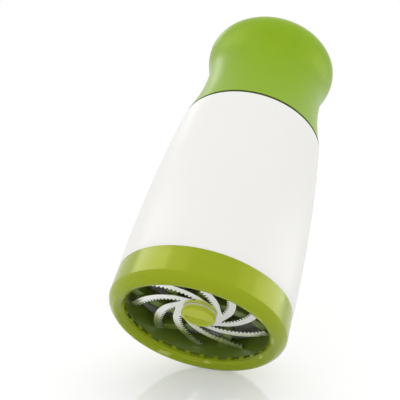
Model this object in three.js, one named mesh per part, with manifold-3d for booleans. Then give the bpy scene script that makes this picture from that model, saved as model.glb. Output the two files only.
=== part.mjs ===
// A twist herb mill. The knob turns a square shaft, which drives an auger inside the hopper and a
// toothed pinwheel blade in the mouth of the base ring. The knob sits on a swivel collar that lifts
// out of the hopper for loading, and the base ring comes off with a short bayonet turn.
// Millimetres, +Z up, origin at the centre of the foot that the mill stands on.
import * as THREE from 'three';
import { mergeVertices } from 'three/addons/utils/BufferGeometryUtils.js';
import Module from 'manifold-3d';

const wasm = await Module();
wasm.setup();

// Clearances
const FIT = 0.3; // between nested round pieces and faces that run past each other
const SQUARE_FIT = 0.2; // between the square shaft and its sockets, on each side
const CLIP_FIT = 0.1; // between a clip and each side of its groove
const BLADE_TIP_GAP = 0.5; // between the blade tips and the carrier ring
const SPOKE_GAP = 0.6; // between the blade and the carrier spokes above it
const AUGER_MOUTH_GAP = 0.9; // between the auger and the mouth that it lifts through
const AUGER_FLOOR_GAP = 0.9; // between the hub clip and the foot of the auger

// Base ring
const BASE_RADIUS = 37.5;
const BASE_HEIGHT = 15.2;
const BASE_WALL = 2.2;
const BASE_DRAFT = 0.1; // how much narrower the top of the ring is
const FOLD_LEVEL = 4.2; // where the wall folds in to the lip
const LIP_REACH = 3.5; // from the wall in to the flat of the foot
const LIP_BOW = 0.6; // how far the lip's face bows out
const FOOT_FLAT = 0.9;
const MOUTH_RISE = 2.4; // height of the mouth edge above the foot
const MOUTH_LAND = 2.2;
const NOTCH_COUNT = 30;
const NOTCH_DEPTH = 1.2;
const NOTCH_SHARE = 0.66; // share of the notch pitch that is cut away
const NOTCH_LIP = 0.9;

// Bayonet between base ring and hopper
const LUG_COUNT = 3;
const LUG_REACH = 1.2;
const LUG_HEIGHT = 2.2;
const LUG_LENGTH = 7.5; // along the circumference
const LUG_LIFT = 1.9; // above the end of the spigot
const UNLOCK_ANGLE = THREE.MathUtils.degToRad(25);

// Blade carrier, fixed in the base ring
const CARRIER_WALL = 2.1;
const CARRIER_FLANGE = 1.2;
const KEY_COUNT = 6;
const KEY_DROP = 1;
const SPOKE_COUNT = 6;
const SPOKE_WIDTH = 4.2;
const SPOKE_ANGLE = THREE.MathUtils.degToRad(-38); // lean from the radius, against the blade
const BUSH_LENGTH = 4.5;
const BUSH_WALL = 2.7;
const SPOKE_DROP = 1; // top of the spokes below the top of the bush

// Blade
const BLADE_LEVEL = 8.2; // underside above the foot
const BLADE_THICKNESS = 0.5;
const BLADE_DISC_RADIUS = 10.2;
const ARM_COUNT = 9;
const ARM_WIDTH = 2.8;
const ARM_ANGLE = THREE.MathUtils.degToRad(48); // lean from the radius
const ARM_PHASE = THREE.MathUtils.degToRad(31); // where the first arm leaves the disc
const TOOTH_PITCH = 1.8;
const TOOTH_DEPTH = 0.9;
const TOOTH_LEAN = 0.9; // share of the pitch where a tooth has its crest

// Drive hub, its clip, its cap and the washer under the blade
const HUB_NECK_RADIUS = 6;
const HUB_FLANGE_RADIUS = 9.5;
const HUB_FLANGE = 1.5;
const HUB_KEY_RADIUS = 5.2; // corner radius of the hexagon that turns the blade
const HUB_KEY_SIDES = 6;
const SOCKET_FLOOR = 0.8;
const SOCKET_DEPTH = 7;
const CLIP_THICKNESS = 0.8;
const CLIP_SEAT = 1.1; // depth of the clip groove
const CLIP_REACH = 2; // how far a clip stands out of its groove
const CLIP_MOUTH = 6; // opening of the clip
const CAP_RADIUS = 7.25;
const CAP_THICKNESS = 2.3;
const CAP_FILLET = 0.6;
const CAP_GRIP_RADIUS = 5.6;
const CAP_GRIP_DEPTH = 0.8;
const CAP_WASHER = 0.3;
const STUD_RADIUS = 2.6;
const STUD_LUG_REACH = 1.2;
const STUD_LUG_HEIGHT = 1.4;
const STUD_LUG_WIDTH = 2.4;
const STUD_LOCK_ANGLE = THREE.MathUtils.degToRad(60);
const HUB_FLOOR = 1.7; // between the flange and the chamber where the stud lugs lock

// Hopper
const HOPPER_PROUD = 0.3; // how far the belly stands out past the base ring
const HOPPER_BELLY = 25; // height of the widest place
const HOPPER_TOP = 103.4;
const HOPPER_TOP_RADIUS = 33.5;
const HOPPER_WALL = 2.2;
const HOPPER_RIM_FILLET = 0.6;
const SHOULDER_DEPTH = 2.2;
const SHOULDER_SLOPE = 4.5;

// Swivel collar, seal and thrust washer
const COLLAR_SPIGOT = 7.4;
const COLLAR_PLATE = 2.8;
const COLLAR_FLANGE = 0.8;
const COLLAR_LEDGE = 7.3; // how far the plate reaches in past the skirt
const SKIRT_WALL = 1.8;
const SEAL_SECTION = 2.1;
const SEAL_LEVEL = 3; // middle of the seal above the end of the spigot
const THRUST_WASHER = 0.8;
const THRUST_MARGIN = 2;

// Knob
const KNOB_SETBACK = 0.3;
const JOINT_RECESS = 0.5; // how far the collar lies back between hopper and knob
const KNOB_WALL = 2.5;
const KNOB_NECK_RADIUS = 28.7;
const KNOB_NECK_LEVEL = 29.5; // above the foot of the knob
const KNOB_CROWN_RADIUS = 32;
const KNOB_CROWN_LEVEL = 48.5;
const DOME_SHARE = 0.53; // rise of the dome as a share of its radius
const KNOB_FOOT_BEND = 2.2; // how far the foot curve runs in before it turns up
const FOOT_TURN = 0.28; // handles of the foot curve, as shares of its rise
const FOOT_EASE = 0.6;
const FLARE_EASE = 0.55; // handles of the flare above the neck, as shares of its rise from each end
const FLARE_TURN = 0.35;
const SCREW_BOSS_RADIUS = 3.4;
const SCREW_BOSS_HEIGHT = 12;
const SCREW_BOSS_RIB = 2;
const SCREW_INSET = 10.4; // from the edge of the knob's foot in to the screws

// Knob liner and retaining ring
const LINER_PLATE = 3;
const LINER_SPIGOT_WALL = 2.5;
const LINER_BOSS_RADIUS = 8;
const LINER_BOSS_RISE = 3; // above the plate
const LINER_BOSS_ROOF = 2; // solid above the end of the shaft
const RETAINER_THICKNESS = 0.9;
const RETAINER_SEAT = 1.2;
const RETAINER_REACH = 2.4;
const RETAINER_MOUTH = 14;
const SPIGOT_TAIL = 2.4; // spigot below the retaining ring

// Screws
const SCREW_COUNT = 3;
const SCREW_RADIUS = 1.4;
const SCREW_HEAD_RADIUS = 2.6;
const SCREW_HEAD_HEIGHT = 1.6;
const SCREW_LENGTH = 9;
const SCREW_SLOT = 0.7;
const SHAFT_SCREW_LENGTH = 10;
const SHAFT_WASHER_RADIUS = 5;
const SHAFT_WASHER = 0.8;

// Drive shaft and auger
const SHAFT_SIDE = 6;
const AUGER_TUBE_RADIUS = 9;
const AUGER_HEIGHT = 52;
const FLIGHT_THICKNESS = 1.8;
const FLIGHT_PITCH = 30;
const FLIGHT_MARGIN = 4; // tube above the end of the flight

// Facets
const ROUND_SEGMENTS = 36;
const SMALL_SEGMENTS = 18;
const ARC_STEPS = 5;
const PROFILE_STEPS = 7;
const SEAL_SIDES = 8;
const CAP_STEPS = 3;
const ARM_STEPS = 8;
const FLIGHT_STEPS = 20; // in one turn
const OVERSHOOT = 1; // how far a cut runs past the face that it opens
const OVERLAP = 0.5; // how far joined shapes run into each other
const MERGE_DISTANCE = 1e-4;

// Sizes that follow from fits: from the base ring inwards
const spigotRadius = BASE_RADIUS - BASE_WALL - FIT;
const spigotBore = spigotRadius - HOPPER_WALL;
const carrierRadius = spigotBore - FIT;
const mouthRadius = carrierRadius - CARRIER_WALL;
const bladeRadius = mouthRadius - BLADE_TIP_GAP;
const bushBore = HUB_NECK_RADIUS + FIT;
const bushRadius = bushBore + BUSH_WALL;

// Heights in the base, from the foot up
const shelfLevel = MOUTH_RISE + MOUTH_LAND;
const carrierFlangeTop = shelfLevel + CARRIER_FLANGE;
const spigotEnd = carrierFlangeTop + FIT;
const bladeTop = BLADE_LEVEL + BLADE_THICKNESS;
const capWasherEnd = BLADE_LEVEL - CAP_WASHER;
const capFace = capWasherEnd - CAP_THICKNESS;
const hubFlangeTop = bladeTop + HUB_FLANGE;
const bushEnd = hubFlangeTop + FIT;
const bushTop = bushEnd + BUSH_LENGTH;
const spokeEnd = bladeTop + SPOKE_GAP;
const spokeTop = bushTop - SPOKE_DROP;
const hubClipEnd = bushTop + FIT;
const hubClipTop = hubClipEnd + CLIP_THICKNESS;
const socketEnd = hubClipTop + CLIP_FIT + SOCKET_FLOOR;
const hubTop = socketEnd + SOCKET_DEPTH;
const lugChamberEnd = hubFlangeTop + FIT + HUB_FLOOR - HUB_FLANGE;
const lugChamberTop = lugChamberEnd + STUD_LUG_HEIGHT + 2 * FIT;

// Hopper, collar and knob, from the mouth inwards and up
const hopperFoot = BASE_HEIGHT + FIT;
const hopperBelly = BASE_RADIUS + HOPPER_PROUD;
const loadingRadius = HOPPER_TOP_RADIUS - HOPPER_WALL;
const collarRadius = loadingRadius - FIT;
const collarEnd = HOPPER_TOP - COLLAR_SPIGOT;
const collarTop = HOPPER_TOP + COLLAR_FLANGE;
const sealRadius = collarRadius - SEAL_SECTION / 2;
const sealFloor = collarRadius - SEAL_SECTION - FIT;
const skirtBore = sealFloor - SKIRT_WALL;
const liningRadius = skirtBore - COLLAR_LEDGE;
const collarBore = liningRadius + FIT;
const collarPlateEnd = collarTop - COLLAR_PLATE;
const thrustTop = collarTop + THRUST_WASHER;
const linerEnd = thrustTop + FIT;
const linerTop = linerEnd + LINER_PLATE;
const linerBossTop = linerTop + LINER_BOSS_RISE;
const retainerTop = collarPlateEnd - FIT;
const retainerEnd = retainerTop - RETAINER_THICKNESS;
const liningEnd = retainerEnd - SPIGOT_TAIL;
const knobFoot = collarTop + FIT;
const knobFootRadius = HOPPER_TOP_RADIUS - KNOB_SETBACK;
const collarRim = knobFootRadius - JOINT_RECESS;
const screwCircle = knobFootRadius - SCREW_INSET;
const screwSeat = linerEnd + FIT + SCREW_HEAD_HEIGHT;
const shaftSocketTop = linerBossTop - LINER_BOSS_ROOF;

// Shaft and auger
const shaftEnd = socketEnd + FIT;
const shaftTop = shaftSocketTop - FIT;
const augerEnd = hubClipTop + AUGER_FLOOR_GAP;
const augerTop = augerEnd + AUGER_HEIGHT;
const augerRadius = loadingRadius - AUGER_MOUTH_GAP;
const shaftClipEnd = augerTop + FIT;
const shaftClipFloor = SHAFT_SIDE / 2 + FIT;

// Finishes
const GREEN = { color: 0x8fb32a, roughness: 0.25, metalness: 0 };
const DEEP_GREEN = { color: 0x7fa32a, roughness: 0.4, metalness: 0 };
const WHITE = { color: 0xf0efea, roughness: 0.3, metalness: 0 };
const STEEL = { color: 0xc9cbcc, roughness: 0.22, metalness: 1 };
const SEAL_GREY = { color: 0x4a4f45, roughness: 0.7, metalness: 0 };
const ACETAL = { color: 0xe6e4da, roughness: 0.5, metalness: 0 };

// A closed solid from a geometry: shared corners merged, collapsed triangles dropped.
function solidOf(geometry) {
  geometry.deleteAttribute('normal');
  geometry.deleteAttribute('uv');
  const merged = mergeVertices(geometry, MERGE_DISTANCE);
  const corners = merged.index.array;
  const kept = [];
  for (let i = 0; i < corners.length; i += 3) {
    const [a, b, c] = corners.slice(i, i + 3);
    if (a !== b && b !== c && c !== a) kept.push(a, b, c);
  }
  const vertProperties = new Float32Array(merged.attributes.position.array);
  const triVerts = new Uint32Array(kept);
  return new wasm.Manifold(new wasm.Mesh({ numProp: 3, vertProperties, triVerts }));
}

function joined(solids) {
  return solids.reduce((whole, solid) => whole.add(solid));
}

// A ring or disc turned about Z from a closed outline of [radius, height] points.
function turned(outline, segments = ROUND_SEGMENTS) {
  const profile = outline.map(([radius, height]) => new THREE.Vector2(radius, height));
  if (THREE.ShapeUtils.area(profile) < 0) profile.reverse();
  profile.push(profile[0].clone());
  return solidOf(new THREE.LatheGeometry(profile, segments).rotateX(Math.PI / 2));
}

function tube(inner, outer, end, top, segments = ROUND_SEGMENTS) {
  return turned([[inner, end], [outer, end], [outer, top], [inner, top]], segments);
}

function disc(radius, end, top, segments = ROUND_SEGMENTS) {
  return tube(0, radius, end, top, segments);
}

function prism(shape, end, top, curveSegments = ARC_STEPS) {
  const options = { depth: top - end, bevelEnabled: false, curveSegments };
  return solidOf(new THREE.ExtrudeGeometry(shape, options).translate(0, 0, end));
}

function block(width, depth, end, top, x = 0, y = 0) {
  const box = new THREE.BoxGeometry(width, depth, top - end);
  return solidOf(box.translate(x, y, (end + top) / 2));
}

// A piece of a ring between two angles.
function sector(inner, outer, from, to, end, top) {
  const steps = Math.ceil(((to - from) * ROUND_SEGMENTS) / (2 * Math.PI));
  const shape = new THREE.Shape();
  shape.absarc(0, 0, outer, from, to, false);
  shape.absarc(0, 0, inner, to, from, true);
  shape.closePath();
  return prism(shape, end, top, steps);
}

function turnedBy(solid, angle) {
  return solid.rotate([0, 0, THREE.MathUtils.radToDeg(angle)]);
}

// Copies of a solid, evenly spread round Z.
function around(count, solid) {
  const copies = [];
  for (let i = 0; i < count; i += 1) copies.push(turnedBy(solid, (2 * Math.PI * i) / count));
  return joined(copies);
}

// Points of a quarter ellipse from (radius, level) at its side to the axis side of its top.
function quarter(centre, level, reach, rise, steps) {
  const points = [];
  for (let i = 0; i <= steps; i += 1) {
    const angle = (Math.PI / 2) * (i / steps);
    points.push([centre + reach * Math.cos(angle), level + rise * Math.sin(angle)]);
  }
  return points;
}

// Points of a bowed line between two [radius, height] points, the bow to its right.
function bowed(from, to, bow, steps) {
  const start = new THREE.Vector2(...from);
  const along = new THREE.Vector2(...to).sub(start);
  const out = new THREE.Vector2(along.y, -along.x).setLength(bow);
  const points = [];
  for (let i = 0; i <= steps; i += 1) {
    const share = i / steps;
    const at = start.clone().addScaledVector(along, share).addScaledVector(out, 4 * share * (1 - share));
    points.push(at.toArray());
  }
  return points;
}

// Outline of a curved arm that keeps one lean from the radius (a logarithmic spiral), with saw
// teeth along its hollow side where a pitch is given.
function armShape(start, end, lean, width, toothPitch = 0, toothDepth = 0) {
  const place = (share, side) => {
    const radius = start * (end / start) ** share;
    const angle = -Math.tan(lean) * Math.log(radius / start);
    const heading = angle - lean;
    const x = radius * Math.cos(angle) + side * Math.sin(heading);
    const y = radius * Math.sin(angle) - side * Math.cos(heading);
    return new THREE.Vector2(x, y);
  };
  const length = (end - start) / Math.cos(lean);
  const teeth = toothPitch > 0 ? Math.max(ARM_STEPS, Math.round(length / toothPitch)) : ARM_STEPS;
  const hollow = [];
  const crown = [];
  for (let i = 0; i <= teeth; i += 1) {
    hollow.push(place(i / teeth, width / 2));
    if (toothDepth > 0 && i < teeth) hollow.push(place((i + TOOTH_LEAN) / teeth, width / 2 + toothDepth));
  }
  for (let i = 0; i <= ARM_STEPS; i += 1) crown.push(place(i / ARM_STEPS, -width / 2));
  return new THREE.Shape([...hollow, ...crown.reverse()]);
}

// An open ring that snaps into a groove.
function clip(inner, outer, end, top, mouth) {
  const ring = tube(inner, outer, end, top, SMALL_SEGMENTS);
  return ring.subtract(block(outer + OVERSHOOT, mouth, end - OVERSHOOT, top + OVERSHOOT, outer / 2));
}

// A slotted screw that stands on its head, with the seat of the head at the given height.
function screw(seat, length) {
  const headEnd = seat - SCREW_HEAD_HEIGHT;
  const body = turned([[0, headEnd], [SCREW_HEAD_RADIUS, headEnd], [SCREW_HEAD_RADIUS, seat],
    [SCREW_RADIUS, seat], [SCREW_RADIUS, seat + length], [0, seat + length]], SMALL_SEGMENTS);
  const slotLength = 2 * SCREW_HEAD_RADIUS + OVERSHOOT;
  const slotTop = headEnd + SCREW_HEAD_HEIGHT / 2;
  return body.subtract(block(slotLength, SCREW_SLOT, headEnd - OVERSHOOT, slotTop));
}

function piece(name, solid, finish) {
  const mesh = solid.getMesh();
  const geometry = new THREE.BufferGeometry();
  geometry.setAttribute('position', new THREE.BufferAttribute(mesh.vertProperties, mesh.numProp));
  geometry.setIndex(new THREE.BufferAttribute(mesh.triVerts, 1));
  geometry.computeVertexNormals();
  const node = new THREE.Mesh(geometry, new THREE.MeshStandardMaterial(finish));
  node.name = name;
  return node;
}

// Base ring: a moulded ring whose wall folds in to a bowed lip, with a raised mouth edge, notches round
// the mouth that key the carrier, and bayonet grooves that open at the top.
function baseRing() {
  const footOuter = BASE_RADIUS - LIP_REACH;
  const footInner = footOuter - FOOT_FLAT;
  const lip = bowed([footOuter, 0], [BASE_RADIUS, FOLD_LEVEL], LIP_BOW, ARC_STEPS);
  const outline = [...lip, [BASE_RADIUS - BASE_DRAFT, BASE_HEIGHT], [spigotRadius + FIT, BASE_HEIGHT],
    [spigotRadius + FIT, shelfLevel], [mouthRadius, shelfLevel], [mouthRadius, MOUTH_RISE],
    [mouthRadius + (footInner - mouthRadius) / 3, MOUTH_RISE / 2], [footInner, 0]];
  let ring = turned(outline);

  const notchPitch = (2 * Math.PI) / NOTCH_COUNT;
  const notchHalf = (notchPitch * NOTCH_SHARE) / 2;
  const notch = sector(mouthRadius - OVERSHOOT, mouthRadius + NOTCH_DEPTH, -notchHalf, notchHalf,
    MOUTH_RISE + NOTCH_LIP, shelfLevel + OVERSHOOT);
  ring = ring.subtract(around(NOTCH_COUNT, notch));

  const lugHalf = LUG_LENGTH / spigotRadius / 2;
  const gap = FIT / spigotRadius;
  const lugEnd = spigotEnd + LUG_LIFT;
  const grooveRadius = spigotRadius + LUG_REACH + FIT;
  const from = -lugHalf - UNLOCK_ANGLE - gap;
  const groove = sector(spigotRadius, grooveRadius, from, lugHalf + gap,
    lugEnd - FIT, lugEnd + LUG_HEIGHT + FIT);
  const entry = sector(spigotRadius, grooveRadius, from, lugHalf - UNLOCK_ANGLE + gap,
    lugEnd - FIT, BASE_HEIGHT + OVERSHOOT);
  return ring.subtract(around(LUG_COUNT, groove.add(entry)));
}

// Blade carrier: a ring keyed into the mouth notches, with leaning spokes that the blade shears
// against and a bush for the hub.
function bladeCarrier() {
  const ring = turned([[mouthRadius, shelfLevel], [spigotRadius, shelfLevel],
    [spigotRadius, carrierFlangeTop], [carrierRadius, carrierFlangeTop],
    [carrierRadius, spokeTop], [mouthRadius, spokeTop]]);
  const keyHalf = (Math.PI / NOTCH_COUNT) * NOTCH_SHARE - FIT / mouthRadius;
  const keyOuter = mouthRadius + NOTCH_DEPTH - FIT;
  const key = sector(mouthRadius + FIT, keyOuter, -keyHalf, keyHalf,
    shelfLevel - KEY_DROP, shelfLevel + OVERLAP);
  const spoke = prism(armShape(bushBore + OVERLAP, mouthRadius + OVERLAP, SPOKE_ANGLE, SPOKE_WIDTH),
    spokeEnd, spokeTop);
  const flangeRoom = disc(HUB_FLANGE_RADIUS + FIT, spokeEnd - OVERSHOOT, bushEnd);
  const bore = disc(bushBore, bushEnd - OVERSHOOT, bushTop + OVERSHOOT);
  const spokes = around(SPOKE_COUNT, spoke).subtract(flangeRoom);
  const bush = disc(bushRadius, bushEnd, bushTop);
  return joined([ring, around(KEY_COUNT, key), spokes, bush]).subtract(bore);
}

// Blade: a stamped steel pinwheel with a hexagon hole and saw teeth on the hollow side of each arm.
function blade() {
  const arm = prism(armShape(BLADE_DISC_RADIUS - OVERLAP, bladeRadius - TOOTH_DEPTH, ARM_ANGLE, ARM_WIDTH,
    TOOTH_PITCH, TOOTH_DEPTH), BLADE_LEVEL, bladeTop);
  const arms = turnedBy(around(ARM_COUNT, arm), ARM_PHASE);
  const reach = disc(bladeRadius, BLADE_LEVEL - OVERSHOOT, bladeTop + OVERSHOOT);
  const hole = disc(HUB_KEY_RADIUS + FIT, BLADE_LEVEL - OVERSHOOT, bladeTop + OVERSHOOT, HUB_KEY_SIDES);
  return disc(BLADE_DISC_RADIUS, BLADE_LEVEL, bladeTop).add(arms).intersect(reach).subtract(hole);
}

// Drive hub: a flange on top of the blade, a hexagon through it, a neck in the carrier bush, a square
// socket for the shaft above and a bayonet chamber for the cap below.
function driveHub() {
  const grooveFloor = HUB_NECK_RADIUS - CLIP_SEAT;
  const grooveEnd = hubClipEnd - CLIP_FIT;
  const grooveTop = hubClipTop + CLIP_FIT;
  const body = turned([[0, bladeTop], [HUB_FLANGE_RADIUS, bladeTop], [HUB_FLANGE_RADIUS, hubFlangeTop],
    [HUB_NECK_RADIUS, hubFlangeTop], [HUB_NECK_RADIUS, grooveEnd], [grooveFloor, grooveEnd],
    [grooveFloor, grooveTop], [HUB_NECK_RADIUS, grooveTop], [HUB_NECK_RADIUS, hubTop], [0, hubTop]]);
  const hexagon = disc(HUB_KEY_RADIUS, BLADE_LEVEL, bladeTop + OVERLAP, HUB_KEY_SIDES);
  const side = SHAFT_SIDE + 2 * SQUARE_FIT;
  const socket = block(side, side, socketEnd, hubTop + OVERSHOOT);
  const lugRoom = STUD_RADIUS + STUD_LUG_REACH + FIT;
  const chamber = disc(lugRoom, lugChamberEnd, lugChamberTop, SMALL_SEGMENTS);
  const bore = disc(STUD_RADIUS + FIT, BLADE_LEVEL - OVERSHOOT, lugChamberTop, SMALL_SEGMENTS);
  const way = block(2 * lugRoom, STUD_LUG_WIDTH + 2 * FIT, BLADE_LEVEL - OVERSHOOT, lugChamberTop);
  const ways = turnedBy(way, STUD_LOCK_ANGLE).intersect(
    disc(lugRoom, BLADE_LEVEL - OVERSHOOT, lugChamberTop, SMALL_SEGMENTS));
  return body.add(hexagon).subtract(joined([socket, chamber, bore, ways]));
}

// Hub cap: a finger cap that clamps the blade, with a bayonet stud and a half-moon grip in its face.
function hubCap() {
  const rim = quarter(CAP_RADIUS - CAP_FILLET, capFace + CAP_FILLET, CAP_FILLET, -CAP_FILLET, CAP_STEPS);
  const lugTop = lugChamberTop - FIT;
  const body = turned([[0, capFace], ...rim.reverse(), [CAP_RADIUS, capWasherEnd],
    [STUD_RADIUS, capWasherEnd], [STUD_RADIUS, lugTop], [0, lugTop]]);
  const lugs = block(2 * (STUD_RADIUS + STUD_LUG_REACH), STUD_LUG_WIDTH, lugTop - STUD_LUG_HEIGHT, lugTop)
    .intersect(disc(STUD_RADIUS + STUD_LUG_REACH, lugTop - STUD_LUG_HEIGHT, lugTop, SMALL_SEGMENTS));
  const moon = new THREE.Shape();
  moon.absarc(0, 0, CAP_GRIP_RADIUS, 0, Math.PI, false);
  moon.closePath();
  const grip = prism(moon, capFace - OVERSHOOT, capFace + CAP_GRIP_DEPTH);
  return body.add(lugs).subtract(grip);
}

function hubWasher() {
  return tube(STUD_RADIUS + STUD_LUG_REACH + FIT, CAP_RADIUS, capWasherEnd, BLADE_LEVEL, SMALL_SEGMENTS);
}

function hubClip() {
  const inner = HUB_NECK_RADIUS - CLIP_SEAT + FIT;
  return clip(inner, HUB_NECK_RADIUS + CLIP_REACH, hubClipEnd, hubClipTop, CLIP_MOUTH);
}

// Hopper: a tapered tube with a rounded belly, a spigot that nests in the base ring and bayonet lugs.
function hopper() {
  const radiusAt = (level) => {
    const share = (level - HOPPER_BELLY) / (HOPPER_TOP - HOPPER_BELLY);
    return hopperBelly - (hopperBelly - HOPPER_TOP_RADIUS) * share * share;
  };
  const shoulderTop = hopperFoot + SHOULDER_DEPTH;
  const slopeTop = shoulderTop + SHOULDER_SLOPE;
  const rim = HOPPER_TOP - HOPPER_RIM_FILLET;
  const outer = [];
  const inner = [];
  for (let i = 0; i <= PROFILE_STEPS; i += 1) {
    const level = hopperFoot + ((rim - hopperFoot) * i) / PROFILE_STEPS;
    outer.push([radiusAt(level), level]);
    const inside = slopeTop + ((HOPPER_TOP - slopeTop) * i) / PROFILE_STEPS;
    inner.push([radiusAt(inside) - HOPPER_WALL, inside]);
  }
  const outline = [[spigotBore, spigotEnd], [spigotRadius, spigotEnd], [spigotRadius, hopperFoot],
    ...outer, [HOPPER_TOP_RADIUS - HOPPER_RIM_FILLET, HOPPER_TOP],
    ...inner.reverse(), [spigotBore, shoulderTop]];
  const lugHalf = LUG_LENGTH / spigotRadius / 2;
  const lugEnd = spigotEnd + LUG_LIFT;
  const lug = sector(spigotRadius - OVERLAP, spigotRadius + LUG_REACH, -lugHalf, lugHalf,
    lugEnd, lugEnd + LUG_HEIGHT);
  return turned(outline).add(around(LUG_COUNT, lug));
}

// Swivel collar: a plug in the loading mouth, with a thin flange on the rim, a seal groove and a plate
// that carries the knob.
function swivelCollar() {
  const sealMiddle = collarEnd + SEAL_LEVEL;
  const grooveHalf = SEAL_SECTION / 2 + CLIP_FIT;
  return turned([[skirtBore, collarEnd], [collarRadius, collarEnd],
    [collarRadius, sealMiddle - grooveHalf], [sealFloor, sealMiddle - grooveHalf],
    [sealFloor, sealMiddle + grooveHalf], [collarRadius, sealMiddle + grooveHalf],
    [collarRadius, HOPPER_TOP], [collarRim, HOPPER_TOP], [collarRim, collarTop],
    [collarBore, collarTop], [collarBore, collarPlateEnd], [skirtBore, collarPlateEnd]]);
}

function collarSeal() {
  const half = SEAL_SECTION / 2;
  const section = [];
  for (let i = 0; i < SEAL_SIDES; i += 1) {
    const angle = (2 * Math.PI * i) / SEAL_SIDES;
    section.push([sealRadius + half * Math.cos(angle), collarEnd + SEAL_LEVEL + half * Math.sin(angle)]);
  }
  return turned(section);
}

function thrustWasher() {
  return tube(collarBore + THRUST_MARGIN, collarRadius - THRUST_MARGIN, collarTop, thrustTop);
}

// Outline of the knob from its foot to the top: a flared foot, a waist and a domed crown. The inset
// moves it inwards along its normal.
function knobProfile(inset) {
  const neckLevel = knobFoot + KNOB_NECK_LEVEL;
  const crownLevel = knobFoot + KNOB_CROWN_LEVEL;
  const foot = new THREE.CubicBezierCurve(
    new THREE.Vector2(knobFootRadius, knobFoot),
    new THREE.Vector2(knobFootRadius - KNOB_FOOT_BEND, knobFoot + KNOB_NECK_LEVEL * FOOT_TURN),
    new THREE.Vector2(KNOB_NECK_RADIUS, knobFoot + KNOB_NECK_LEVEL * FOOT_EASE),
    new THREE.Vector2(KNOB_NECK_RADIUS, neckLevel));
  const rise = crownLevel - neckLevel;
  const flare = new THREE.CubicBezierCurve(
    new THREE.Vector2(KNOB_NECK_RADIUS, neckLevel),
    new THREE.Vector2(KNOB_NECK_RADIUS, neckLevel + rise * FLARE_EASE),
    new THREE.Vector2(KNOB_CROWN_RADIUS, crownLevel - rise * FLARE_TURN),
    new THREE.Vector2(KNOB_CROWN_RADIUS, crownLevel));
  const points = [];
  for (const curve of [foot, flare]) {
    for (let i = 0; i < ARC_STEPS; i += 1) {
      const at = curve.getPoint(i / ARC_STEPS);
      const along = curve.getTangent(i / ARC_STEPS);
      points.push([at.x - inset * along.y, at.y + inset * along.x]);
    }
  }
  const dome = KNOB_CROWN_RADIUS * DOME_SHARE - inset;
  return [...points, ...quarter(0, crownLevel, KNOB_CROWN_RADIUS - inset, dome, PROFILE_STEPS)];
}

function knobBoreAt(level) {
  const points = knobProfile(KNOB_WALL);
  const next = points.findIndex((point) => point[1] > level);
  const [above, below] = [points[next], points[next - 1]];
  return below[0] + ((above[0] - below[0]) * (level - below[1])) / (above[1] - below[1]);
}

function atScrew(index, solid) {
  return turnedBy(solid.translate([screwCircle, 0, 0]), (2 * Math.PI * index) / SCREW_COUNT);
}

// Knob shell: a hollow moulding, open at the foot, with ribbed screw bosses inside.
function knobShell() {
  const whole = turned([[0, knobFoot], ...knobProfile(0)]);
  const lining = knobProfile(KNOB_WALL);
  const cavityEnd = knobFoot - OVERSHOOT;
  const cavity = turned([[0, cavityEnd], [lining[0][0], cavityEnd], ...lining]);
  let shell = whole.subtract(cavity);
  const bossTop = linerTop + SCREW_BOSS_HEIGHT;
  const boss = disc(SCREW_BOSS_RADIUS, linerTop, bossTop, SMALL_SEGMENTS);
  const ribReach = Math.max(knobFootRadius, KNOB_CROWN_RADIUS) - screwCircle;
  const rib = block(ribReach, SCREW_BOSS_RIB, linerTop, bossTop, ribReach / 2);
  const pilotTop = screwSeat + SCREW_LENGTH + FIT;
  const pilot = disc(SCREW_RADIUS + FIT, linerTop - OVERSHOOT, pilotTop, SMALL_SEGMENTS);
  for (let i = 0; i < SCREW_COUNT; i += 1) {
    shell = shell.add(atScrew(i, boss.add(rib)).intersect(whole)).subtract(atScrew(i, pilot));
  }
  return shell;
}

// Knob liner: closes the knob from below, turns in the collar on its spigot and grips the shaft.
function knobLiner() {
  const plateRadius = knobBoreAt(linerTop) - FIT;
  const liningBore = liningRadius - LINER_SPIGOT_WALL;
  const plate = disc(plateRadius, linerEnd, linerTop);
  const grooveFloor = liningRadius - RETAINER_SEAT;
  const grooveEnd = retainerEnd - CLIP_FIT;
  const grooveTop = retainerTop + CLIP_FIT;
  const root = linerEnd + OVERLAP;
  const spigot = turned([[liningBore, liningEnd], [liningRadius, liningEnd], [liningRadius, grooveEnd],
    [grooveFloor, grooveEnd], [grooveFloor, grooveTop], [liningRadius, grooveTop],
    [liningRadius, root], [liningBore, root]]);
  const boss = disc(LINER_BOSS_RADIUS, liningEnd, linerBossTop);
  const side = SHAFT_SIDE + 2 * SQUARE_FIT;
  const socket = block(side, side, liningEnd - OVERSHOOT, shaftSocketTop);
  const screwWay = disc(SCREW_RADIUS + FIT, liningEnd, linerBossTop + OVERSHOOT, SMALL_SEGMENTS);
  let liner = joined([plate, spigot, boss]).subtract(socket).subtract(screwWay);
  const recess = disc(SCREW_HEAD_RADIUS + FIT, linerEnd - OVERSHOOT, screwSeat, SMALL_SEGMENTS)
    .add(disc(SCREW_RADIUS + FIT, linerEnd, linerTop + OVERSHOOT, SMALL_SEGMENTS));
  for (let i = 0; i < SCREW_COUNT; i += 1) liner = liner.subtract(atScrew(i, recess));
  return liner;
}

function retainingRing() {
  const inner = liningRadius - RETAINER_SEAT + FIT;
  return clip(inner, liningRadius + RETAINER_REACH, retainerEnd, retainerTop, RETAINER_MOUTH);
}

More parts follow.
